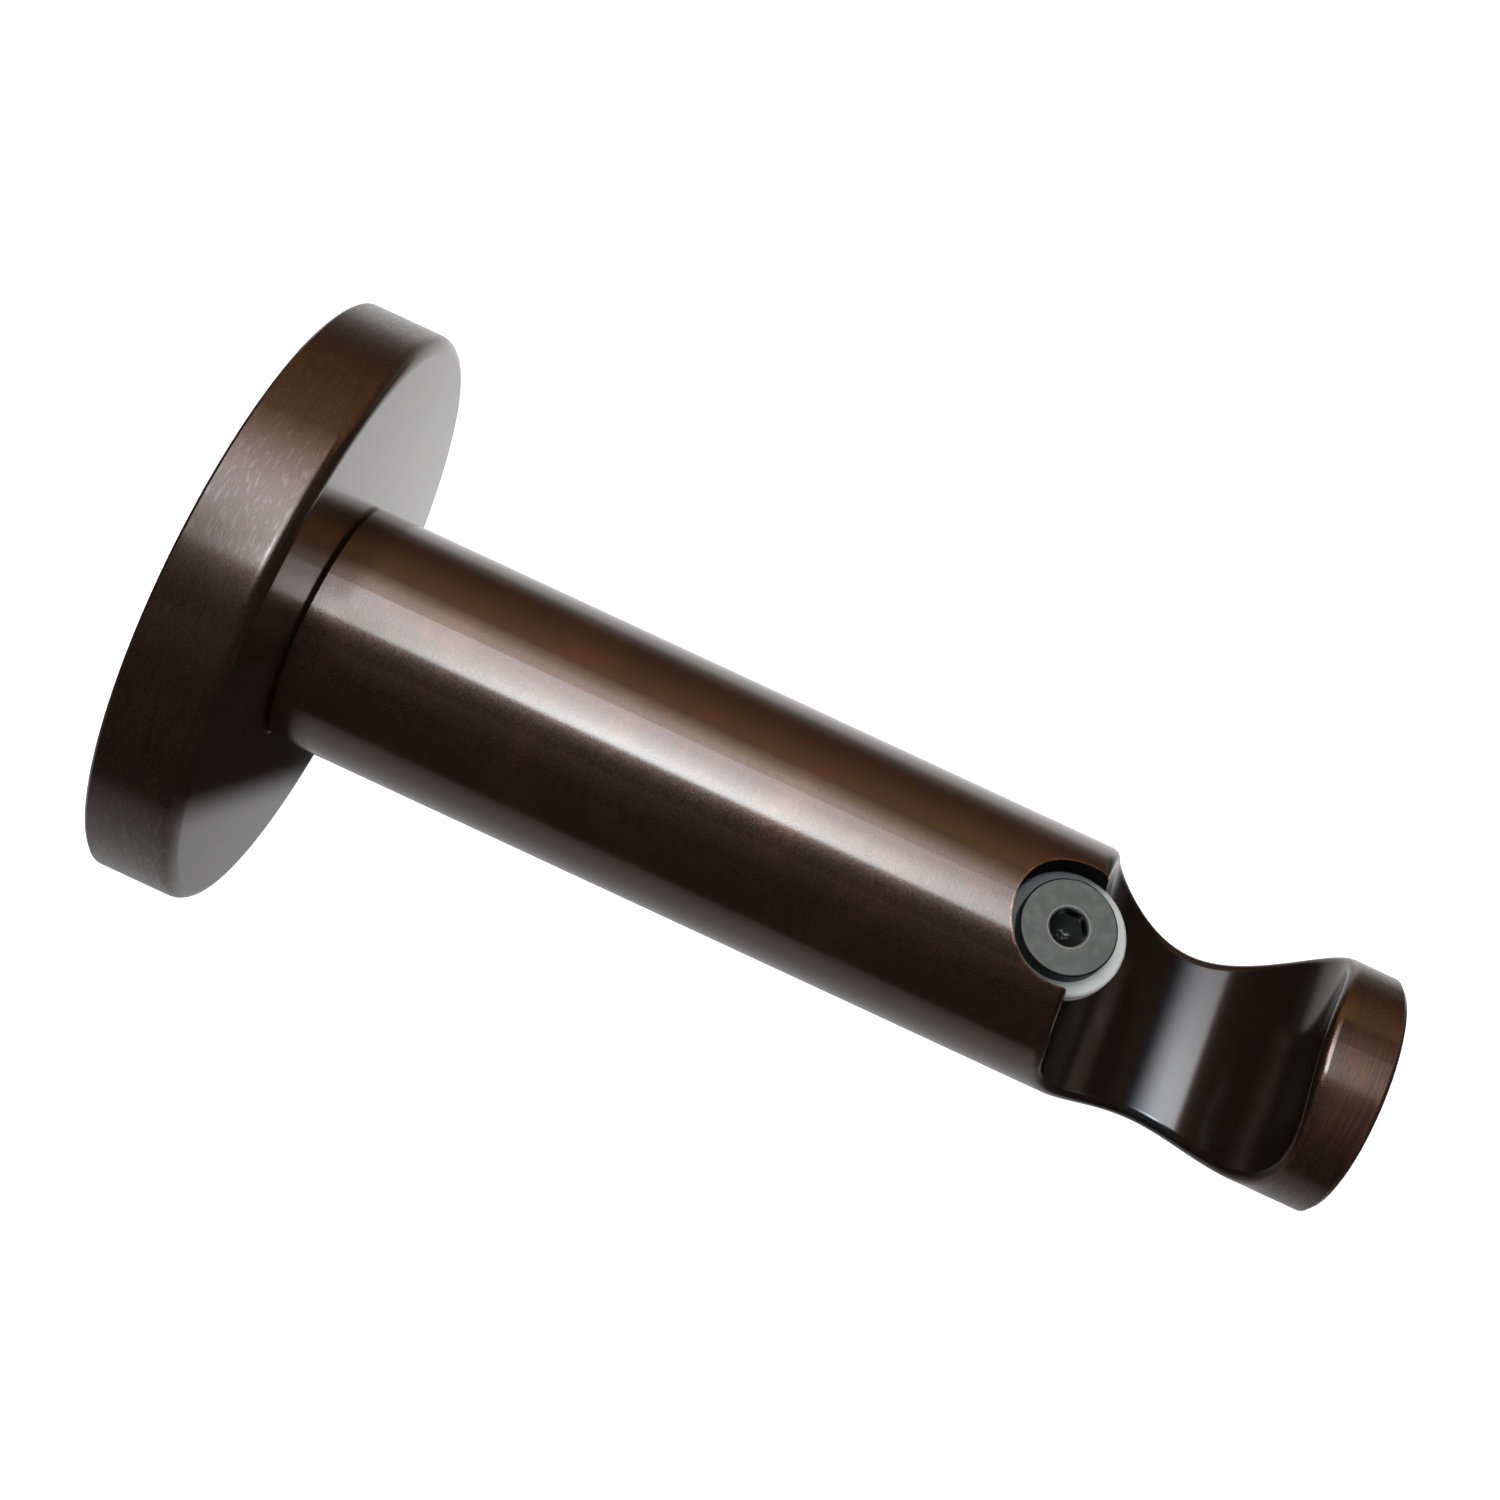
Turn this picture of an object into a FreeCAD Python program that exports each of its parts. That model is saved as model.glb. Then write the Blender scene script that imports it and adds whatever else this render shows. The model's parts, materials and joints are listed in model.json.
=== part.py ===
# Side-fixing curtain pole bracket: a turned round arm on a wall rose, with an open seat
# for the pole near its tip and a socket screw with a broad washer that locks the pole.
#
# Frame, in millimetres: the origin is on the wall, on the arm's axis. +X points out of
# the wall along the arm, +Z is up, towards the open side of the seat, and the pole lies
# along Y.
import FreeCAD, Part
import math
import os

from FreeCAD import Placement, Rotation, Vector

# Driving dimensions
arm_diameter = 25.0
arm_length = 112.4
rose_diameter = 61.4
rose_thickness = 9.0
pole_seat_radius = 12.3
pole_seat_from_rose = 94.2
pole_seat_floor = -6.9
lock_screw_from_rose = 78.75

# Wall rose
rose_front_wall = 3.8
rose_rim_wall = 3.2
rose_front_round = 1.5
rose_front_flats = 2

# Arm
arm_root_chamfer = 0.35
arm_tip_chamfer = 0.5
seat_edge_round = 1.0
seat_side_lean = 12.0
pocket_radius = 6.3
pocket_floor = 6.0

# Lock screw and washer: an M6 screw with a low head
lock_head_radius = 4.9
lock_head_height = 2.0
lock_head_chamfer = 0.15
lock_shank_radius = 3.0
lock_shank_length = 14.0
lock_socket_flats = 3.5
lock_socket_depth = 1.7
lock_socket_mouth = 2.1
washer_radius = 6.25
washer_hole_radius = 3.2
washer_thickness = 1.8
washer_shift = 0.1
washer_edge_chamfer = 0.2

# Countersunk socket screw that holds the arm on the rose: M6
arm_screw_radius = 3.0
arm_screw_head_radius = 6.0
arm_screw_length = 20.0
arm_screw_socket_flats = 4.0
arm_screw_socket_depth = 2.3

# Wall plate in the rose's hollow
plate_thickness = 4.4
plate_gap = 0.4
plate_groove_depth = 0.9
plate_groove_width = 2.2
plate_groove_from_wall = 2.4
wall_screw_spacing = 32.0
wall_screw_hole_radius = 2.4
wall_screw_sink_radius = 4.6

# Grub screw through the underside of the rose's rim: M4
grub_radius = 2.0
grub_below_rim = 0.5
grub_point_radius = 0.4
grub_socket_flats = 2.0
grub_socket_depth = 1.6

# Fits
thread_clearance = 0.05
point_clearance = 0.03
drill_point_angle = 118.0
hole_past_screw = 2.0
screw_end_chamfer = 0.8

# Worked out from the dimensions above
arm_radius = arm_diameter / 2
rose_radius = rose_diameter / 2
hollow_radius = rose_radius - rose_rim_wall
hollow_depth = rose_thickness - rose_front_wall
plate_radius = hollow_radius - plate_gap
seat_x = rose_thickness + pole_seat_from_rose
seat_z = pole_seat_floor + pole_seat_radius
lock_x = rose_thickness + lock_screw_from_rose
washer_top = pocket_floor + washer_thickness
lock_face = washer_top + lock_head_height
tip_x = rose_thickness + arm_length

X_AXIS = Vector(1, 0, 0)
Y_AXIS = Vector(0, 1, 0)
Z_AXIS = Vector(0, 0, 1)


def turned(points, axis_origin=Vector(0, 0, 0)):
    """A solid turned about the X axis from (x, radius) points."""
    corners = [axis_origin + Vector(x, 0, r) for x, r in points]
    outline = Part.makePolygon(corners + [corners[0]])
    return Part.Face(outline).revolve(axis_origin, X_AXIS, 360)


def upright(points, x):
    """A solid turned about the upright line at x, from (height, radius) points."""
    corners = [Vector(x + r, 0, z) for z, r in points]
    outline = Part.makePolygon(corners + [corners[0]])
    return Part.Face(outline).revolve(Vector(x, 0, 0), Z_AXIS, 360)


def hexagon_socket(flats, depth, mouth, direction):
    """A flat-bottomed hexagon socket, cut from the point mouth along direction."""
    corner_radius = flats / math.sqrt(3)
    corners = [
        Vector(corner_radius * math.cos(turn), corner_radius * math.sin(turn), 0)
        for turn in (math.radians(60 * i) for i in range(6))
    ]
    prism = Part.Face(Part.makePolygon(corners + [corners[0]])).extrude(Vector(0, 0, depth))
    prism.Placement = Placement(mouth, Rotation(Z_AXIS, direction))
    return prism


def edges_on(shape, test):
    """The edges of a shape whose every sampled point passes the test."""
    found = []
    for edge in shape.Edges:
        points = edge.discretize(7)
        if all(test(point) for point in points):
            found.append(edge)
    return found


def on_seat(point, tolerance=0.02):
    """Whether a point is on the pole seat's round or on its leaning side."""
    lean = math.radians(seat_side_lean)
    off_round = math.hypot(point.x - seat_x, point.z - seat_z) - pole_seat_radius
    off_side = (point.x - seat_x) * math.cos(lean) + (point.z - seat_z) * math.sin(lean) + pole_seat_radius
    return min(abs(off_round), abs(off_side)) < tolerance


def on_barrel(point, tolerance=0.02):
    """Whether a point is on the arm's round outside."""
    return abs(math.hypot(point.y, point.z) - arm_radius) < tolerance


def front_edge_points():
    """The rose's rounded front edge as a few short flats, from its rim to its face."""
    points = []
    for step in range(rose_front_flats + 1):
        turn = math.radians(90 * step / rose_front_flats)
        x = rose_thickness - rose_front_round * (1 - math.sin(turn))
        radius = rose_radius - rose_front_round * (1 - math.cos(turn))
        points.append((x, radius))
    return points


def make_rose():
    """A turned cup: flat front with a rounded edge, hollow back, and two screw holes."""
    rose = turned([(0, 0), (0, rose_radius)] + front_edge_points() + [(rose_thickness, 0)])

    hollow = Part.makeCylinder(hollow_radius, hollow_depth, Vector(0, 0, 0), X_AXIS)
    rose = rose.cut(hollow)

    # The countersink is cut from inside, for the screw that holds the arm.
    hole_radius = arm_screw_radius + thread_clearance
    sink_radius = arm_screw_head_radius + thread_clearance
    countersink = turned([
        (hollow_depth - 1, 0),
        (hollow_depth - 1, sink_radius),
        (hollow_depth, sink_radius),
        (hollow_depth + sink_radius - hole_radius, hole_radius),
        (rose_thickness + 1, hole_radius),
        (rose_thickness + 1, 0),
    ])
    grub_hole = Part.makeCylinder(
        grub_radius + thread_clearance,
        2 * rose_rim_wall,
        Vector(plate_groove_from_wall, 0, -hollow_radius + rose_rim_wall / 2),
        -Z_AXIS,
    )
    return rose.cut(countersink).cut(grub_hole)


def make_wall_plate():
    """The round plate screwed to the wall, with a groove round its edge for the grub screw."""
    groove_half = plate_groove_width / 2
    groove_bottom = plate_radius - plate_groove_depth
    plate = turned([
        (0, 0),
        (0, plate_radius),
        (plate_groove_from_wall - groove_half, plate_radius),
        (plate_groove_from_wall, groove_bottom),
        (plate_groove_from_wall + groove_half, plate_radius),
        (plate_thickness, plate_radius),
        (plate_thickness, 0),
    ])
    sink_depth = wall_screw_sink_radius - wall_screw_hole_radius
    for side in (-1, 1):
        place = Vector(0, side * wall_screw_spacing / 2, 0)
        hole = turned([
            (-1, 0),
            (-1, wall_screw_hole_radius),
            (plate_thickness - sink_depth, wall_screw_hole_radius),
            (plate_thickness, wall_screw_sink_radius),
            (plate_thickness + 1, wall_screw_sink_radius),
            (plate_thickness + 1, 0),
        ], place)
        plate = plate.cut(hole)
    return plate


def make_grub_screw():
    """The grub screw in the rim: its cone sits in the wall plate's groove."""
    head_end = -(rose_radius - grub_below_rim)
    groove_bottom = plate_radius - plate_groove_depth
    point_seat = grub_point_radius * plate_groove_depth / (plate_groove_width / 2)
    point_end = -(groove_bottom + point_seat + point_clearance)
    cone_length = grub_radius - grub_point_radius
    screw = upright([
        (head_end, 0),
        (head_end, grub_radius),
        (point_end - cone_length, grub_radius),
        (point_end, grub_point_radius),
        (point_end, 0),
    ], plate_groove_from_wall)
    mouth = Vector(plate_groove_from_wall, 0, head_end)
    return screw.cut(hexagon_socket(grub_socket_flats, grub_socket_depth, mouth, Z_AXIS))


def seat_cutter():
    """The round seat across the arm. Its side towards the wall leans back, to let the pole in."""
    lean = math.radians(seat_side_lean)
    centre = Vector(seat_x, -arm_diameter, seat_z)
    width = Vector(0, 2 * arm_diameter, 0)
    round_part = Part.makeCylinder(pole_seat_radius, width.Length, centre, Y_AXIS)
    touch = centre - Vector(math.cos(lean), 0, math.sin(lean)) * pole_seat_radius
    side_top = touch + Vector(-math.sin(lean), 0, math.cos(lean)) * arm_diameter
    corners = [centre, touch, side_top, Vector(seat_x, -arm_diameter, side_top.z)]
    side_part = Part.Face(Part.makePolygon(corners + [corners[0]])).extrude(width)
    return round_part.fuse(side_part)


def make_arm():
    """The solid turned arm with the pole seat, the lock screw's pocket and two tapped holes."""
    arm = turned([
        (rose_thickness, 0),
        (rose_thickness, arm_radius - arm_root_chamfer),
        (rose_thickness + arm_root_chamfer, arm_radius),
        (tip_x - arm_tip_chamfer, arm_radius),
        (tip_x, arm_radius - arm_tip_chamfer),
        (tip_x, 0),
    ])
    arm = arm.cut(seat_cutter())
    seat_edges = edges_on(arm, lambda point: on_seat(point) and on_barrel(point))
    arm = arm.makeFillet(seat_edge_round, seat_edges)

    pocket = upright([
        (pocket_floor, 0),
        (pocket_floor, pocket_radius),
        (arm_diameter, pocket_radius),
        (arm_diameter, 0),
    ], lock_x)
    tapped_radius = lock_shank_radius + thread_clearance
    lock_hole_bottom = washer_top - lock_shank_length - hole_past_screw
    lock_hole = upright([
        (lock_hole_bottom - tapped_radius / math.tan(math.radians(drill_point_angle / 2)), 0),
        (lock_hole_bottom, tapped_radius),
        (arm_diameter, tapped_radius),
        (arm_diameter, 0),
    ], lock_x)
    end_radius = arm_screw_radius + thread_clearance
    end_hole_bottom = hollow_depth + arm_screw_length + hole_past_screw
    end_hole = turned([
        (0, 0),
        (0, end_radius),
        (end_hole_bottom, end_radius),
        (end_hole_bottom + end_radius / math.tan(math.radians(drill_point_angle / 2)), 0),
    ])
    return arm.cut(pocket).cut(lock_hole).cut(end_hole)


def make_arm_screw():
    """The countersunk screw from the back of the rose into the arm."""
    cone_length = arm_screw_head_radius - arm_screw_radius
    screw = turned([
        (hollow_depth, 0),
        (hollow_depth, arm_screw_head_radius),
        (hollow_depth + cone_length, arm_screw_radius),
        (hollow_depth + arm_screw_length - screw_end_chamfer, arm_screw_radius),
        (hollow_depth + arm_screw_length, arm_screw_radius - screw_end_chamfer),
        (hollow_depth + arm_screw_length, 0),
    ])
    mouth = Vector(hollow_depth, 0, 0)
    socket = hexagon_socket(arm_screw_socket_flats, arm_screw_socket_depth, mouth, X_AXIS)
    return screw.cut(socket)


def make_lock_washer():
    """The broad washer under the lock screw's head. Its loose hole lets it lie towards the pole."""
    return upright([
        (pocket_floor, washer_hole_radius),
        (pocket_floor, washer_radius),
        (washer_top - washer_edge_chamfer, washer_radius),
        (washer_top, washer_radius - washer_edge_chamfer),
        (washer_top, washer_hole_radius),
    ], lock_x + washer_shift)


def make_lock_screw():
    """The low-head socket screw that locks the pole."""
    shank_end = washer_top - lock_shank_length
    screw = upright([
        (shank_end, 0),
        (shank_end, lock_shank_radius - screw_end_chamfer),
        (shank_end + screw_end_chamfer, lock_shank_radius),
        (washer_top, lock_shank_radius),
        (washer_top, lock_head_radius),
        (lock_face - lock_head_chamfer, lock_head_radius),
        (lock_face, lock_head_radius - lock_head_chamfer),
        (lock_face, 0),
    ], lock_x)
    mouth = Vector(lock_x, 0, lock_face)
    socket = hexagon_socket(lock_socket_flats, lock_socket_depth, mouth, -Z_AXIS)
    mouth_cone = Part.makeCone(
        lock_socket_mouth,
        lock_socket_flats / 2,
        lock_socket_mouth - lock_socket_flats / 2,
        mouth,
        -Z_AXIS,
    )
    bottom = Part.makeCone(
        lock_socket_flats / 2,
        0,
        lock_socket_flats / 2 / math.tan(math.radians(drill_point_angle / 2)),
        mouth - Vector(0, 0, lock_socket_depth),
        -Z_AXIS,
    )
    return screw.cut(socket).cut(mouth_cone).cut(bottom)


def save(name, shape):
    """Writes one piece to parts/NAME.step and prints its size."""
    solids = shape.Solids
    if len(solids) != 1 or not shape.isValid():
        raise ValueError(name + " is not one valid solid")
    solids[0].exportStep(os.path.join("parts", name + ".step"))
    box = solids[0].BoundBox
    print("%-14s %8.1f mm3  X %.2f..%.2f  Y %.2f..%.2f  Z %.2f..%.2f" % (
        name, solids[0].Volume, box.XMin, box.XMax, box.YMin, box.YMax, box.ZMin, box.ZMax))


os.makedirs("parts", exist_ok=True)
save("wall_rose", make_rose())
save("wall_plate", make_wall_plate())
save("rim_grub_screw", make_grub_screw())
save("arm", make_arm())
save("arm_screw", make_arm_screw())
save("lock_washer", make_lock_washer())
save("lock_screw", make_lock_screw())
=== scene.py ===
# %% [markdown]
# A curtain pole bracket in dark brushed bronze, dressed and lit as in a product photograph.
#
# The solid pieces arrive ready made, at their real size and in their real places. This lesson gives
# them their finishes: turned and brushed bronze, black screws, a pale washer and zinc plate. Then it
# builds a small studio round them. On metal the studio is half of the finish, because a smooth
# piece shows little but what stands around it.
#
# Finishes and studio were tuned together, to agree with one photograph from one side. Some masks
# below paint in light that belongs to that picture and not to the metal. The lesson says so where
# each is made, and in another studio they are best left out.
#
# First the ready pieces are loaded, and the size and face count of each are printed.

# %% The ready pieces
import json
import math

import bmesh
import bpy
from mathutils import Matrix, Vector


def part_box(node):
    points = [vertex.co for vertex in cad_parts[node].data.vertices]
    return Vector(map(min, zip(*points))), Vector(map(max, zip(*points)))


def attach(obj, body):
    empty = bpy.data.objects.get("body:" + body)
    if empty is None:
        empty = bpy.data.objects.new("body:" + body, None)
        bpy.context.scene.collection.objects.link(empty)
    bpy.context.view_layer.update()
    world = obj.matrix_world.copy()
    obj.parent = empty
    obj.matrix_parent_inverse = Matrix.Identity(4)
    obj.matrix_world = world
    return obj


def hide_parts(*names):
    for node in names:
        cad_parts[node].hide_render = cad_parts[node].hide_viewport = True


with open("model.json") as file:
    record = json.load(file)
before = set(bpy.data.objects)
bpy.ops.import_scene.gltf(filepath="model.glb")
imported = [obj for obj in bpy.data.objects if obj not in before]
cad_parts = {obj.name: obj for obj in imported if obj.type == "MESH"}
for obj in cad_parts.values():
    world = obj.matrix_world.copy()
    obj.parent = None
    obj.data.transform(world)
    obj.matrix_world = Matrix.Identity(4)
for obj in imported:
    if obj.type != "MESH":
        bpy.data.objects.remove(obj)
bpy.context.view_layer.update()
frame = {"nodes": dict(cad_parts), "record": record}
nodes = frame["nodes"]
for name in sorted(nodes):
    low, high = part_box(name)
    size = [round(1000 * (high[i] - low[i]), 1) for i in range(3)]
    print(name, "measures", size, "mm,", len(nodes[name].data.polygons), "faces")

# %% [markdown]
# The arm lies along X, the wall is the plane X = 0 and Z points up. The finishes need to know where
# the seat for the pole and the lock screw are. The seat is read from the bracket's own list of places
# to fasten, and the rest from the pieces' boxes. Pieces, finishes and camera are in millimetres,
# because that is how a maker thinks of them. The studio is in metres, but for the small card at the
# rose.

# %% Where things are, in millimetres
MM = 0.001
washer_play = 0.05
mounts = {mount["name"]: mount for mount in frame["record"]["mounts"]}
seat_place = mounts["pole_seat"]["pos_m"]
seat_x = seat_place[0] / MM
seat_z = seat_place[2] / MM
seat_radius = mounts["pole_seat"]["dims"]["r_mm"]


def reach(name):
    """The lowest and highest corner of a piece, in millimetres."""
    low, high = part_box(name)
    return low / MM, high / MM


arm_low, arm_high = reach("arm")
root_x = arm_low.x
tip_x = arm_high.x
arm_radius = arm_high.z
washer_low, washer_high = reach("lock_washer")
pocket_floor = washer_low.z
pocket_radius = washer_high.y + washer_play
screw_low, screw_high = reach("lock_screw")
lock_x = (screw_low.x + screw_high.x) / 2
lock_head_radius = screw_high.y
print("arm from", round(root_x, 2), "to", round(tip_x, 2), "seat at", round(seat_x, 2), round(seat_z, 2),
      "lock screw at", round(lock_x, 2), "in a pocket down to", round(pocket_floor, 2))

# %% [markdown]
# Finishes are drawn with shader nodes. Linking dozens of Math nodes by hand hides the idea, so one
# small class stands for a socket and lets Python's own operators add the nodes. Everything else comes
# from one method that takes the kind of node, its settings and what goes into its sockets.

# %% Shader sums as plain expressions
class Wire:
    """The output of a node. Sums on it add Math nodes to its tree."""

    def __init__(self, bench, socket):
        self.bench = bench
        self.socket = socket

    def math(self, operation, *values):
        sockets = dict(enumerate((self,) + values))
        return self.bench.node("ShaderNodeMath", {"operation": operation}, sockets)

    def __add__(self, other):
        return self.math("ADD", other)

    def __sub__(self, other):
        return self.math("SUBTRACT", other)

    def __mul__(self, other):
        return self.math("MULTIPLY", other)

    def __truediv__(self, other):
        return self.math("DIVIDE", other)

    def __rsub__(self, other):
        return self.bench.node("ShaderNodeMath", {"operation": "SUBTRACT"}, {0: other, 1: self})

    __radd__ = __add__
    __rmul__ = __mul__


class Bench:
    """A node tree with one method that adds a node."""

    def __init__(self, tree):
        self.tree = tree

    def node(self, kind, settings=None, sockets=None, out=0):
        made = self.tree.nodes.new(kind)
        for key, value in (settings or {}).items():
            if key == "stops":
                self.set_stops(made.color_ramp, value)
            else:
                setattr(made, key, value)
        for key, value in (sockets or {}).items():
            self.feed(made.inputs[key], value)
        return Wire(self, made.outputs[out])

    def feed(self, socket, value):
        if isinstance(value, Wire):
            self.tree.links.new(value.socket, socket)
        else:
            socket.default_value = value

    def set_stops(self, ramp, stops):
        while len(ramp.elements) < len(stops):
            ramp.elements.new(1.0)
        for element, (place, colour) in zip(ramp.elements, stops):
            element.position = place
            element.color = (*colour, 1.0)

    def parts_of(self, vector):
        """The X, Y and Z of a vector as three wires."""
        x = self.node("ShaderNodeSeparateXYZ", sockets={0: vector})
        return [Wire(self, output) for output in x.socket.node.outputs]

    def fade(self, value, start, end):
        """0 before start, 1 after end, smooth between. Start may be the larger."""
        return self.node("ShaderNodeMapRange", {"interpolation_type": "SMOOTHSTEP"},
                         {"Value": value, "From Min": start, "From Max": end})

    def mix(self, factor, a, b):
        """Colour a where the factor is 0, b where it is 1."""
        return self.node("ShaderNodeMix", {"data_type": "RGBA"}, {0: factor, 6: a, 7: b}, out=2)


def new_finish(name):
    """A material, its bench and its main shader."""
    material = bpy.data.materials.new(name)
    material.use_nodes = True
    return material, Bench(material.node_tree), material.node_tree.nodes["Principled BSDF"]


def place_on(bench):
    """The place on a piece as three wires, in millimetres."""
    return [part * (1 / MM) for part in bench.parts_of(bench.node("ShaderNodeTexCoord", out="Object"))]


def facing(bench):
    """The way the surface faces as three wires, each from 0 to 1, whichever side it faces."""
    normal = bench.node("ShaderNodeTexCoord", out="Normal")
    return [part.math("ABSOLUTE") for part in bench.parts_of(normal)]


def distance(a, b):
    return (a * a + b * b).math("SQRT")


def dress(piece, material):
    """Puts the material on a piece."""
    piece.data.materials.clear()
    piece.data.materials.append(material)
    print(piece.name, "wears", material.name)


# %% [markdown]
# The bronze looks like thin dark brown plating under clear lacquer, on metal that was turned on a
# lathe and then brushed while it spun. So every scratch is a ring round the X axis, made of noise,
# drawn on a point that moves fast along X and slowly round the axis. On an end face X stands still,
# so the distance from the axis is added to it, and the rings carry on across the face. Dividing Y
# and Z by that distance gives a place on the circle with no seam. The plating itself is grainy, and
# its grain has no direction, so it is plain noise.

# %% Scratches round the arm, and grain
def ring_noise(bench, per_mm, round_axis, detail):
    """Noise in streaks that run round the X axis."""
    x, y, z = place_on(bench)
    off_axis = distance(y, z) + 0.001
    point = bench.node("ShaderNodeCombineXYZ", sockets={
        0: (x + off_axis) * per_mm,
        1: y / off_axis * round_axis,
        2: z / off_axis * round_axis,
    })
    return bench.node("ShaderNodeTexNoise", sockets={
        "Vector": point, "Scale": 1.0, "Detail": detail, "Roughness": 0.6})


def scuffs(bench):
    """Short strokes round the axis where the lacquer is whole and shines more."""
    return bench.fade(ring_noise(bench, 3.0, 22.0, 2.0), 0.52, 0.70)


def grain_noise(bench, size_mm, detail):
    """Noise in patches of about that size."""
    return bench.node("ShaderNodeTexNoise", sockets={
        "Vector": bench.node("ShaderNodeTexCoord", out="Object"),
        "Scale": 1 / (size_mm * MM), "Detail": detail, "Roughness": 0.55})


# %% [markdown]
# Colour first. The body of the plating is a dark brown, partly metal: its Base Color is small and
# warm. The lacquer is the shader's own coat, which mirrors about five per cent with no colour of its
# own, so the strongest highlight is nearly white and only its flanks are brown. The coat is smoother
# than the metal below it, which makes a clear highlight with a sparkle of grain in it.

# %% Brushed bronze
BRONZE = (0.052, 0.027, 0.020, 1.0)
BRONZE_THIN = (0.095, 0.044, 0.026, 1.0)
BRONZE_THICK = (0.034, 0.018, 0.014, 1.0)
SMOOTH_ROUGHNESS = 0.17
BRUSH_ROUGHNESS = 0.12
GRAIN_ROUGHNESS = 0.12
BRUSH_HEIGHT = 0.7
GRAIN_HEIGHT = 1.9
BUMP_MM = 0.012


def brushed_bronze(name, brushed, grainy):
    """Bronze with masks, made by functions of the bench, for its brushing and its grain."""
    material, bench, shader = new_finish(name)
    rings = ring_noise(bench, 5.0, 8.0, 2.0)
    bands = ring_noise(bench, 1.1, 3.0, 3.0)
    grain = grain_noise(bench, 0.22, 2.0)
    patches = grain_noise(bench, 7.0, 3.0)
    mottle = grain_noise(bench, 0.9, 3.0)
    brush = brushed(bench)
    rough = grainy(bench)
    worn = bench.fade(patches, 0.48, 0.75) * 0.6 + bench.fade(mottle, 0.5, 0.72) * 0.35
    colour = bench.mix(worn, BRONZE, BRONZE_THIN)
    colour = bench.mix(bench.fade(bands, 0.55, 0.3) * brush * 0.5, colour, BRONZE_THICK)
    bench.feed(shader.inputs["Base Color"], colour)
    roughness = SMOOTH_ROUGHNESS + brush * rings * BRUSH_ROUGHNESS + rough * grain * GRAIN_ROUGHNESS
    bench.feed(shader.inputs["Roughness"], roughness)
    shader.inputs["Metallic"].default_value = 0.7
    shader.inputs["Coat Weight"].default_value = 1.0
    shader.inputs["Coat Roughness"].default_value = 0.13
    shader.inputs["Coat IOR"].default_value = 1.55
    height = rings * brush * BRUSH_HEIGHT + grain * rough * GRAIN_HEIGHT
    bump = bench.node("ShaderNodeBump", sockets={
        "Strength": 0.55, "Distance": BUMP_MM * MM, "Height": height}, out="Normal")
    bench.feed(shader.inputs["Normal"], bump)
    return material, bench, shader, colour, roughness


# %% [markdown]
# On the arm the brushing ends where the seat was milled. The seat, its rounded edge and the pocket
# all lie nearer the axis than the turned outside does, so the distance from the axis tells them
# apart. The last stretch, past the seat, is brushed more strongly than the rest.

# %% The stretches of the arm
def turned_outside(bench):
    """1 on the turned outside of the arm, 0 in the seat and the pocket."""
    x, y, z = place_on(bench)
    return bench.fade(distance(y, z), arm_radius - 0.35, arm_radius - 0.06)


def beyond_seat(bench):
    """1 on the arm's last stretch, past the seat."""
    x = place_on(bench)[0]
    return bench.fade(x, seat_x + seat_radius - 0.5, seat_x + seat_radius + 1.5)


def arm_brushing(bench):
    """Brushed all along the turned outside, and most on the last stretch."""
    return turned_outside(bench) * (0.5 + beyond_seat(bench) * 0.4)


# %% [markdown]
# This is the first mask that paints in light. Real grain is the same all round the arm, and the lamp
# picks it out where the arm looks up to it. Even grain came out too strong on the dark side here, so
# the grain itself is made to follow the lamp's direction. Under another light it would look wrong.

# %% Grain that follows the lamp
LAMP_UP = 0.94
LAMP_NEAR = 0.34


def towards_lamp(bench):
    """1 along the line of the arm that looks up to the lamp, fading to 0 on both sides."""
    x, y, z = place_on(bench)
    return bench.fade((z * LAMP_UP - y * LAMP_NEAR) / arm_radius, 0.80, 0.97)


def arm_grain(bench):
    """Strongest towards the lamp, and weaker again on the last stretch."""
    lit = towards_lamp(bench) * 1.1 - 0.1
    return 0.3 + turned_outside(bench) * lit * (1 - beyond_seat(bench) * 0.4)


material, bench, shader, colour, roughness = brushed_bronze("bronze_arm", arm_brushing, arm_grain)
x, y, z = place_on(bench)
off_axis = distance(y, z)
tip = beyond_seat(bench)
milled = 1 - turned_outside(bench)
broken = bench.fade(grain_noise(bench, 0.9, 2.0), 0.35, 0.6)

# %% [markdown]
# Along the pocket's sharp mouth the plating is worn to copper, in a thin line that noise breaks up.
# The pocket's wall looks black in the photograph, so it is painted black and gets no lacquer.

# %% The pocket's mouth and wall
off_pocket = distance(x - lock_x, y) - pocket_radius
high_up = bench.fade(z, pocket_floor - 2.0, pocket_floor)
facing_up = bench.fade(facing(bench)[2], 0.3, 0.6)
mouth = bench.fade(off_pocket, 0.22, 0.10) * high_up * facing_up * broken
wall = bench.fade(off_pocket, 0.12, 0.06) * high_up * (1 - facing_up)

# %% [markdown]
# The seat's rounded edge by the tip is worn a little too. The other masks of the seat paint in
# light. The photograph shows a grey reflection on the seat's floor, and weaker gloss on its far side
# and along its edge by the tip than this studio gives. So the floor is tinted grey, and the lacquer
# is thinned in those two places.

# %% The milled seat
rounded_edge = bench.fade(off_axis, arm_radius - 0.02, arm_radius - 0.06) * bench.fade(
    off_axis, arm_radius - 0.28, arm_radius - 0.14)
seat_rim = rounded_edge * bench.fade(x, seat_x + 9.0, seat_x + 10.0) * broken
seat_floor_reflection = bench.fade((x - seat_x - 1.5).math("ABSOLUTE"), 3.8, 1.8)
far_side = bench.fade(y, -6.0, 11.0)
soft_rim = milled * bench.fade(x, seat_x + 8.0, seat_x + 9.5) * bench.fade(y, 4.0, 1.0)
seat_coat = (1 - milled * far_side * 0.7) * (1 - soft_rim * 0.8)
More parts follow.
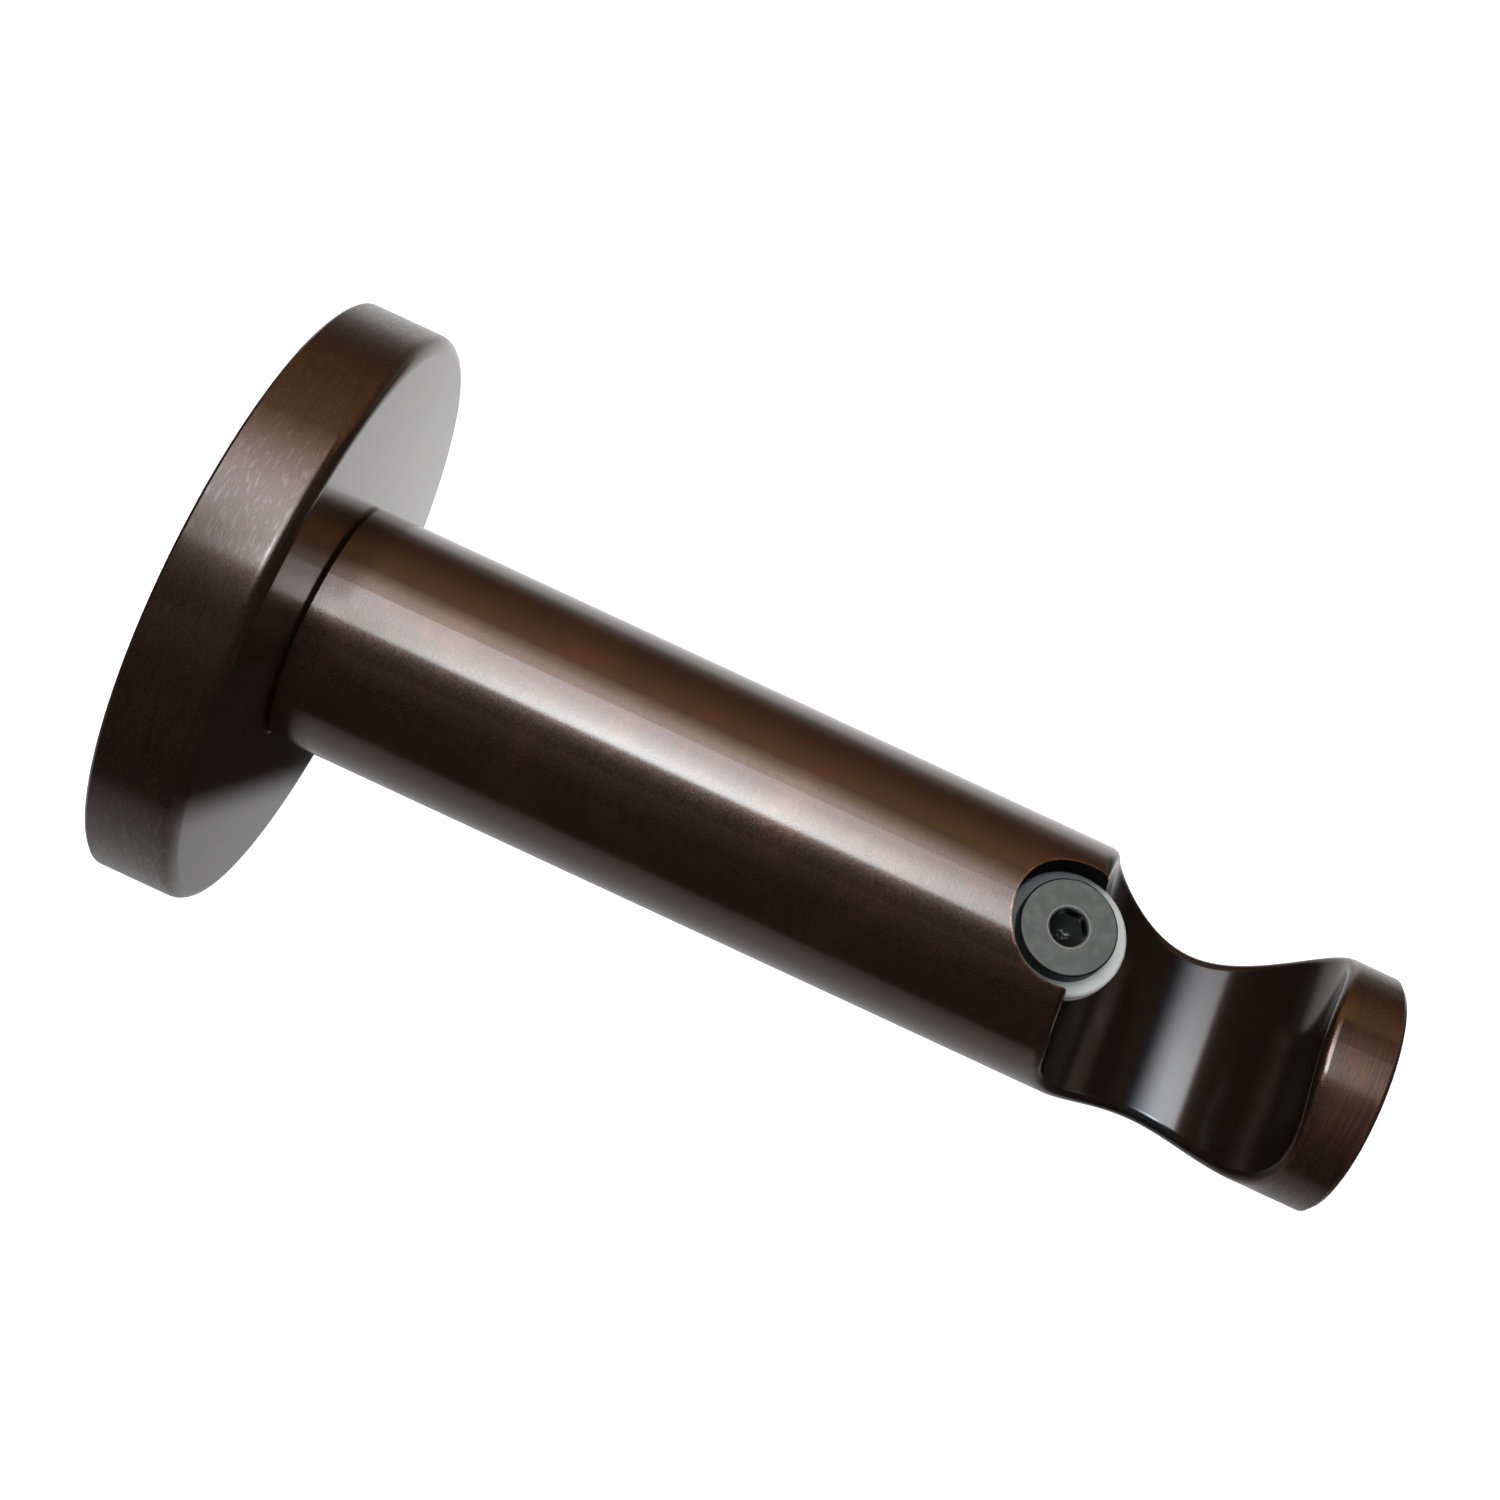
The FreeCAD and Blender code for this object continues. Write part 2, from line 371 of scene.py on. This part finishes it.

# %% [markdown]
# Past the seat the plating is worn in streaks that run round the axis, and its lacquer is scuffed.
# The worn colour is laid only towards the lamp, which is the photograph's light once more, so it is
# wear and a painted copper sheen at once. The tip's own edge is worn a little all round.

# %% The tip
tip_edge = bench.fade(x, tip_x - 0.65, tip_x - 0.45)
streaks = bench.fade(ring_noise(bench, 4.0, 2.0, 3.0), 0.40, 0.65)
tip_wear_and_sheen = tip * turned_outside(bench) * towards_lamp(bench)
tip_coat = 1 - tip * (0.4 - scuffs(bench) * 0.4)

# %% [markdown]
# The masks are laid over the bronze one by one, each with a colour of its own. The pocket's black
# wall comes last, so that none of the others shows on it.
#
# One flaw is left in the picture: a hard line along the arm's top, where Y is 0. It comes, most
# likely, from the seam of the ready arm's mesh.

# %% The arm's finish
BRONZE_MILLED = (0.024, 0.017, 0.013, 1.0)
BRONZE_REFLECTION_GREY = (0.026, 0.029, 0.034, 1.0)
BRONZE_WORN_SHEEN = (0.14, 0.058, 0.036, 1.0)
COPPER = (0.36, 0.14, 0.065, 1.0)
BLACK = (0.010, 0.009, 0.008, 1.0)
colour = bench.mix(milled * (1 - tip) * 0.85, colour, BRONZE_MILLED)
# The seat's floor is tinted grey: a painted reflection.
colour = bench.mix(milled * seat_floor_reflection, colour, BRONZE_REFLECTION_GREY)
# Worn copper streaks past the seat, only towards the lamp: wear and a painted sheen.
colour = bench.mix(tip_wear_and_sheen * (0.25 + streaks * 0.5), colour, BRONZE_WORN_SHEEN)
colour = bench.mix(mouth * 0.6 + tip_edge * 0.1 + seat_rim * 0.15, colour, COPPER)
colour = bench.mix(wall, colour, BLACK)
bench.feed(shader.inputs["Base Color"], colour)
bench.feed(shader.inputs["Coat Weight"], (1 - wall) * tip_coat * seat_coat)
bench.feed(shader.inputs["Roughness"], roughness + wall * 0.7 + tip * 0.04)
dress(nodes["arm"], material)

# %% [markdown]
# The rose is the round foot. Its ready solid has its rounded front edge in two flats, so here it is
# turned again as a lathe would do it: one outline, spun round the X axis in many fine steps. The
# outline is read from the pieces it must fit, and the new rose then stands for the ready one.

# %% The wall rose, turned
rose_high = reach("wall_rose")[1]
plate_high = reach("wall_plate")[1]
arm_screw_low, arm_screw_high = reach("arm_screw")
rose_radius = rose_high.y
front_round = 1.5
back_break = 0.3
hole_radius = 3.05
plate_play = 0.4
screw_play = 0.05
arc_steps = 12
turn_steps = 360
sharp_edge = math.radians(25)


def front_arc():
    """The rounded front edge as points from the rim to the face."""
    points = []
    for step in range(arc_steps + 1):
        turn = math.radians(90 * step / arc_steps)
        points.append((rose_high.x - front_round * (1 - math.sin(turn)),
                       rose_radius - front_round * (1 - math.cos(turn))))
    return points


hollow_radius = plate_high.y + plate_play
hollow_depth = arm_screw_low.x
sink_radius = arm_screw_high.y + screw_play
outline = [(0, rose_radius - back_break), (back_break, rose_radius)] + front_arc() + [
    (rose_high.x, hole_radius),
    (hollow_depth + sink_radius - hole_radius, hole_radius),
    (hollow_depth, sink_radius),
    (hollow_depth, hollow_radius),
    (back_break, hollow_radius),
    (0, hollow_radius + back_break),
]


def turned_piece(name, points, steps):
    """A closed ring of (place along X, radius) points in millimetres, turned about the X axis."""
    mesh = bpy.data.meshes.new(name)
    shape = bmesh.new()
    rings = []
    for step in range(steps):
        turn = 2 * math.pi * step / steps
        ring = [shape.verts.new((along * MM, radius * MM * math.sin(turn), radius * MM * math.cos(turn)))
                for along, radius in points]
        rings.append(ring)
    count = len(points)
    for step in range(steps):
        here = rings[step]
        there = rings[(step + 1) % steps]
        for i in range(count):
            j = (i + 1) % count
            face = shape.faces.new((here[i], here[j], there[j], there[i]))
            face.smooth = True
    bmesh.ops.recalc_face_normals(shape, faces=shape.faces)
    for edge in shape.edges:
        edge.smooth = edge.calc_face_angle(0.0) < sharp_edge
    shape.to_mesh(mesh)
    shape.free()
    piece = bpy.data.objects.new(name, mesh)
    bpy.context.scene.collection.objects.link(piece)
    return piece


rose = turned_piece("turned_rose", outline, turn_steps)
print("turned rose has", len(rose.data.polygons), "faces")


# %% [markdown]
# In the photograph the rose's rim shows brushing and its front shows hardly any. Which way the
# surface faces tells the two apart. The rim is also a little darker, and its lacquer is scuffed.

# %% The rose's finish
def rim(bench):
    """1 on the rose's rim, 0 on its flat front."""
    return bench.fade(facing(bench)[0], 0.9, 0.5)


def rose_brushing(bench):
    """Brushed on the rim and hardly at all on the front."""
    return 0.1 + rim(bench) * 0.9


def rose_grain(bench):
    """A little grainier on the rim."""
    return 0.5 + rim(bench) * 0.3


material, bench, shader, colour = brushed_bronze("bronze_rose", rose_brushing, rose_grain)[:4]
bench.feed(shader.inputs["Base Color"], bench.mix(rim(bench) * 0.4, colour, BRONZE_THICK))
bench.feed(shader.inputs["Coat Weight"], 1 - rim(bench) * (0.45 - scuffs(bench) * 0.45))
dress(rose, material)
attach(rose, "root")
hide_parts("wall_rose")


# %% [markdown]
# Black screws are steel with a thin oxide skin: nearly matt, and paler in patches. The lock screw is
# the only one that the photograph shows. Its sides and its socket are darkened to near black, which
# is painted shade. Two more of its masks paint in light: the bright ring round the socket's mouth
# and the glint on the socket's floor, which on the real screw are reflections.

# %% Black screws
OXIDE = (0.062, 0.065, 0.062, 1.0)
OXIDE_PALE = (0.092, 0.096, 0.090, 1.0)
PAINTED_SHADE_BLACK = (0.008, 0.008, 0.008, 1.0)
GLINT = (0.30, 0.31, 0.30, 1.0)


def black_steel(name):
    """Blackened steel, paler in patches."""
    material, bench, shader = new_finish(name)
    cloud = grain_noise(bench, 1.2, 4.0)
    tone = bench.mix(bench.fade(cloud, 0.35, 0.7), OXIDE, OXIDE_PALE)
    bench.feed(shader.inputs["Base Color"], tone)
    bench.feed(shader.inputs["Roughness"], cloud * 0.2 + 0.4)
    shader.inputs["Metallic"].default_value = 0.5
    return material, bench, shader, tone


socket_mouth = 2.1
socket_bottom = screw_high.z - 1.7
material, bench, shader, tone = black_steel("black_lock_screw")
x, y, z = place_on(bench)
off_lock = distance(x - lock_x, y)
side = bench.fade(off_lock, lock_head_radius - 0.22, lock_head_radius - 0.1)
inside = bench.fade(off_lock, socket_mouth - 0.15, socket_mouth - 0.3)
mouth_highlight = bench.fade(off_lock, socket_mouth - 0.18, socket_mouth - 0.1) * bench.fade(
    off_lock, socket_mouth + 0.1, socket_mouth + 0.02)
specks = bench.fade(grain_noise(bench, 0.35, 2.0), 0.45, 0.6)
bottom = bench.fade(off_lock, 0.75, 0.45) * bench.fade(z, socket_bottom + 0.2, socket_bottom) * specks
# The head's sides and the socket are darkened: painted shade.
tone = bench.mix(side + inside, tone, PAINTED_SHADE_BLACK)
# A painted highlight round the socket's mouth and a painted glint on its floor.
tone = bench.mix(mouth_highlight * 0.7 + bottom * 0.6, tone, GLINT)
bench.feed(shader.inputs["Base Color"], tone)
dress(nodes["lock_screw"], material)
plain_black = black_steel("black_screw")[0]
dress(nodes["arm_screw"], plain_black)
dress(nodes["rim_grub_screw"], plain_black)

# %% [markdown]
# The washer is pale and matt, drawn as plain plastic. In the photograph the part of it on the
# wall's side lies in the pocket's shade, and this studio lights it too much. So the last mask that
# paints in light darkens it there.

# %% Pale washer
WASHER = (0.42, 0.42, 0.405, 1.0)
WASHER_PALE = (0.50, 0.50, 0.48, 1.0)
WASHER_SHADE = (0.05, 0.05, 0.052, 1.0)
material, bench, shader = new_finish("pale_washer")
cloud = grain_noise(bench, 0.8, 3.0)
x, y, z = place_on(bench)
in_pocket = bench.fade(x, lock_x + 4.5, lock_x - 0.5) * bench.fade(distance(x - lock_x, y), 4.6, 5.0)
colour = bench.mix(cloud, WASHER, WASHER_PALE)
bench.feed(shader.inputs["Base Color"], bench.mix(in_pocket * 0.85, colour, WASHER_SHADE))
bench.feed(shader.inputs["Roughness"], cloud * 0.2 + 0.5)
dress(nodes["lock_washer"], material)

# %% [markdown]
# The wall plate sits in the rose's hollow and shows only from behind. It is zinc, all metal, pale
# and a little cloudy.

# %% Zinc wall plate
ZINC_DULL = (0.42, 0.43, 0.44, 1.0)
ZINC_BRIGHT = (0.66, 0.66, 0.64, 1.0)
material, bench, shader = new_finish("zinc_plate")
cloud = grain_noise(bench, 6.0, 4.0)
bench.feed(shader.inputs["Base Color"], bench.mix(cloud, ZINC_DULL, ZINC_BRIGHT))
bench.feed(shader.inputs["Roughness"], cloud * 0.2 + 0.28)
shader.inputs["Metallic"].default_value = 1.0
dress(nodes["wall_plate"], material)

# %% [markdown]
# The camera looks down on the arm from over its side, and the picture is turned so that the arm runs
# down to the right. Its place, aim, lens and shift were fitted to the edges of the bracket in the
# photograph. The shift moves the picture's frame over the piece without turning the camera.

# %% The camera
camera_climb = math.radians(64.6)
camera_swing = math.radians(0.115)
picture_turn = math.radians(24.874)
camera_place = Vector((55.63, -80.54, 222.88)) * MM
camera_data = bpy.data.cameras.new("camera")
camera_data.sensor_width = 36.0
camera_data.lens = 56.7
camera_data.shift_x = -0.0621
camera_data.shift_y = -0.0945
camera_data.clip_start = 0.01
camera = bpy.data.objects.new("camera", camera_data)
bpy.context.scene.collection.objects.link(camera)
along_arm = Vector((1, 0, 0))
over_arm = Vector((0, math.sin(camera_climb), math.cos(camera_climb)))
to_camera = Vector((0, -math.cos(camera_climb), math.sin(camera_climb)))
aim = Matrix((along_arm, over_arm, to_camera)).transposed()
aim = aim @ Matrix.Rotation(camera_swing, 3, "Y") @ Matrix.Rotation(picture_turn, 3, "Z")
camera.matrix_world = Matrix.Translation(camera_place) @ aim.to_4x4()
bpy.context.scene.camera = camera
print("camera", round((camera_place - Vector((60, 0, 0)) * MM).length, 3), "m from the arm")

# %% [markdown]
# The studio is white paper below, a soft box overhead and cloth all round. All but the paper are flat
# cards that glow and reflect nothing. The renderer knows whether a ray comes from the camera, from
# gloss or from a dull surface, so a card can be made to show in the gloss alone.
#
# The places and tones of the cards were tuned until the picture agreed with the photograph. They
# don't show where the photographer's own cards stood.

# %% Cards and their glow
def card(name, corners):
    """A flat four-cornered card of the studio."""
    mesh = bpy.data.meshes.new(name)
    mesh.from_pydata(corners, [], [(0, 1, 2, 3)])
    made = bpy.data.objects.new(name, mesh)
    bpy.context.scene.collection.objects.link(made)
    return made


def new_glow(name):
    """A material with an emission shader alone: the material, its bench and that shader."""
    material = bpy.data.materials.new(name)
    material.use_nodes = True
    bench = Bench(material.node_tree)
    glow = bench.node("ShaderNodeEmission")
    bench.feed(material.node_tree.nodes["Material Output"].inputs["Surface"], glow)
    return material, bench, glow.socket.node


def seen_directly(bench):
    """1 for rays from the camera, off gloss and through glass."""
    path = bench.node("ShaderNodeLightPath").socket.node.outputs
    rays = [Wire(bench, path[name]) for name in ("Is Camera Ray", "Is Glossy Ray", "Is Transmission Ray")]
    return rays[0].math("MAXIMUM", rays[1]).math("MAXIMUM", rays[2])


# %% [markdown]
# The soft box is brightest at its edge on the camera's side and fades away from it, from cool white
# to a dim brown. One corner is dimmed and a hot spot is added at the near edge, both for the
# highlights' sake. The box lights the bracket, but the camera doesn't see it.

# %% The soft box
box_height = 0.62
box_left = -0.225
box_right = 0.42
box_near = -0.15
box_far = 0.56
box_strength = 11.5
hot_spot_gain = 0.6
corner_dimming = 0.8
BOX_TONES = [
    (0.02, (0.70, 0.80, 0.83)),
    (0.19, (0.72, 0.80, 0.83)),
    (0.36, (0.52, 0.54, 0.58)),
    (0.555, (0.36, 0.34, 0.325)),
    (0.81, (0.15, 0.113, 0.085)),
    (1.0, (0.09, 0.055, 0.03)),
]
soft_box = card("soft_box", [(box_left, box_near, box_height), (box_right, box_near, box_height),
                             (box_right, box_far, box_height), (box_left, box_far, box_height)])
material, bench, glow = new_glow("soft_box_cloth")
x, y, z = bench.parts_of(bench.node("ShaderNodeTexCoord", out="Object"))
away = (y - box_near) / (box_far - box_near)
bench.feed(glow.inputs["Color"], bench.node("ShaderNodeValToRGB", {"stops": BOX_TONES}, {0: away}))
dim_corner = bench.fade(x, 0.0, -0.14) * bench.fade(y, 0.17, -0.10)
hot_spot = bench.fade(distance(x, y - box_near), 0.17, 0.02)
spread = bench.fade(x, box_right - 0.06, 0.0) * (1 - dim_corner * corner_dimming)
bench.feed(glow.inputs["Strength"], (spread + hot_spot * hot_spot_gain) * box_strength)
dress(soft_box, material)
soft_box.visible_camera = False

# %% [markdown]
# Photographers hang dark cloth round shiny metal, so that its dark side has something dark to
# mirror. Here the cloth shows only in the gloss: it hides nothing from the camera and takes no light
# from the paper. The far cloth turns amber higher up, for the warm band on the arm's far flank.

# %% Dark cloth round the set
floor_z = -0.2
top_z = 0.66
near_y = -0.5
far_y = 0.65
left_x = -0.6
right_x = 0.75
AWAY = 1
UP = 2
DARK = (0.012, 0.009, 0.008)
NEAR_TONES = [(0.0, DARK), (0.6, DARK), (1.0, (0.20, 0.14, 0.11))]
SIDE_TONES = [(0.0, DARK), (1.0, (0.03, 0.022, 0.02))]
TOP_TONES = [(0.0, DARK), (0.8, (0.05, 0.04, 0.03)), (1.0, (0.3, 0.17, 0.08))]
FAR_TONES = [
    (0.0, (0.30, 0.26, 0.24)),
    (0.1, (0.22, 0.19, 0.17)),
    (0.22, (0.09, 0.055, 0.032)),
    (0.42, (0.20, 0.10, 0.04)),
    (0.65, (0.50, 0.25, 0.09)),
    (1.0, (0.75, 0.43, 0.16)),
]


def across(y):
    """The corners of a cloth that hangs along X."""
    return [(left_x, y, floor_z), (right_x, y, floor_z), (right_x, y, top_z), (left_x, y, top_z)]


def beside(x):
    """The corners of a cloth that hangs along Y."""
    return [(x, near_y, floor_z), (x, far_y, floor_z), (x, far_y, top_z), (x, near_y, top_z)]


def level(z):
    """The corners of a sheet that lies over the whole set."""
    return [(left_x, near_y, z), (right_x, near_y, z), (right_x, far_y, z), (left_x, far_y, z)]


def only_in_gloss(piece):
    """Hides a card from the camera and from all light but what the gloss mirrors."""
    piece.visible_camera = False
    piece.visible_diffuse = False
    piece.visible_shadow = False


def cloth(name, corners, axis, start, end, tones):
    """A cloth that shows only in gloss. Its tone follows its place along an axis."""
    made = card(name, corners)
    material, bench, glow = new_glow(name)
    place = bench.parts_of(bench.node("ShaderNodeTexCoord", out="Object"))[axis]
    along = (place - start) / (end - start)
    bench.feed(glow.inputs["Color"], bench.node("ShaderNodeValToRGB", {"stops": tones}, {0: along}))
    dress(made, material)
    only_in_gloss(made)


cloth("cloth_near", across(near_y), UP, floor_z, top_z, NEAR_TONES)
cloth("cloth_far", across(far_y), UP, floor_z, top_z, FAR_TONES)
cloth("cloth_left", beside(left_x), UP, floor_z, top_z, SIDE_TONES)
cloth("cloth_right", beside(right_x), UP, floor_z, top_z, SIDE_TONES)
cloth("cloth_top", level(top_z), AWAY, near_y, far_y, TOP_TONES)

# %% [markdown]
# The paper alone would be white in the gloss all the way out, so a second sheet just over it shows
# there instead. It is grey, palest beyond the middle, and fades on both sides of the bracket.

# %% The table top as the gloss sees it
table_z = floor_z + 0.01
table_glow = 0.9
least_glow = 0.1
TABLE_TONES = [
    (0.0, 0.14),
    (0.18, 0.34),
    (0.32, 0.38),
    (0.47, 0.34),
    (0.52, 0.75),
    (0.8, 0.71),
    (1.0, 0.38),
]
table = card("table_top", level(table_z))
material, bench, glow = new_glow("table_top")
x, y, z = bench.parts_of(bench.node("ShaderNodeTexCoord", out="Object"))
greys = [(place, (tone, tone, tone)) for place, tone in TABLE_TONES]
away = (y - near_y) / (far_y - near_y)
bench.feed(glow.inputs["Color"], bench.node("ShaderNodeValToRGB", {"stops": greys}, {0: away}))
middle = bench.fade(x, 0.34, 0.16) * bench.fade(x, -0.30, -0.08)
bench.feed(glow.inputs["Strength"], middle * table_glow + least_glow)
dress(table, material)
only_in_gloss(table)

# %% [markdown]
# One card is a trick that no real studio could use. In the photograph the rose's front has a dark
# patch below the arm, and the cloths above don't make it. So a small dark card stands 0.5 to 0.7 mm
# in front of the rose and passes through the arm, and only the gloss sees it. Its corners lie 3 mm
# along the camera's look, once the rose has mirrored it, and its lower edge fades out. From other
# sides it shows as a dark patch that has no visible cause.

# %% The dark card in front of the rose
mirror_x = rose_high.x
mirror_travel = 3.0
card_top = -4.0
card_solid = -arm_radius - 4.6
card_bottom = -arm_radius - 9.8
card_near = 33.0
card_far = -27.0


def mirrored(over, depth):
    """Where the camera's look lands that meets the rose's front at this place and is mirrored by it."""
    meets = (along_arm * mirror_x + over_arm * over + to_camera * depth) * MM
    look = (meets - camera_place).normalized()
    look.x = -look.x
    return meets + look * mirror_travel * MM


dark_card = card("dark_card", [mirrored(card_bottom, card_far), mirrored(card_bottom, card_near),
                               mirrored(card_top, card_near), mirrored(card_top, card_far)])
material, bench, glow = new_glow("dark_card")
glow.inputs["Color"].default_value = (*DARK, 1.0)
x, y, z = place_on(bench)
over = y * over_arm.y + z * over_arm.z
solid = bench.fade(over, card_bottom, card_solid)
clear = bench.node("ShaderNodeBsdfTransparent")
both = bench.node("ShaderNodeMixShader", sockets={0: solid, 1: clear, 2: Wire(bench, glow.outputs[0])})
bench.feed(material.node_tree.nodes["Material Output"].inputs["Surface"], both)
dress(dark_card, material)
only_in_gloss(dark_card)

# %% [markdown]
# The paper is matt white. For the camera and the gloss it glows a little as well, more so far out,
# so that the background stays as white as in the photograph without lighting the bracket more.

# %% White paper
PAPER = (0.85, 0.85, 0.85, 1.0)
paper_reach = 3
material, bench, shader = new_finish("floor_paper")
shader.inputs["Base Color"].default_value = PAPER
shader.inputs["Roughness"].default_value = 0.9
x, y, z = bench.parts_of(bench.node("ShaderNodeTexCoord", out="Object"))
far_out = bench.fade(distance(x, y), 0.3, 1.5)
paper_glow = seen_directly(bench) * (0.45 + far_out * 0.55)
lift = bench.node("ShaderNodeEmission", sockets={"Strength": paper_glow})
both = bench.node("ShaderNodeAddShader", sockets={0: Wire(bench, shader.outputs[0]), 1: lift})
bench.feed(material.node_tree.nodes["Material Output"].inputs["Surface"], both)
floor = card("floor", [(-paper_reach, -paper_reach, floor_z), (paper_reach, -paper_reach, floor_z),
                       (paper_reach, paper_reach, floor_z), (-paper_reach, paper_reach, floor_z)])
dress(floor, material)

# %% [markdown]
# The room adds an even white light. It is full for the camera and the gloss, and less than half of
# that for what it lights. The Standard view shows the tones as they were computed.

# %% The room's own light
WHITE = (1.0, 1.0, 1.0, 1.0)
world = bpy.data.worlds.new("studio")
bpy.context.scene.world = world
world.use_nodes = True
bench = Bench(world.node_tree)
bench.feed(world.node_tree.nodes["Background"].inputs["Color"], WHITE)
bench.feed(world.node_tree.nodes["Background"].inputs["Strength"], seen_directly(bench) * 0.6 + 0.4)
bpy.context.scene.view_settings.view_transform = "Standard"
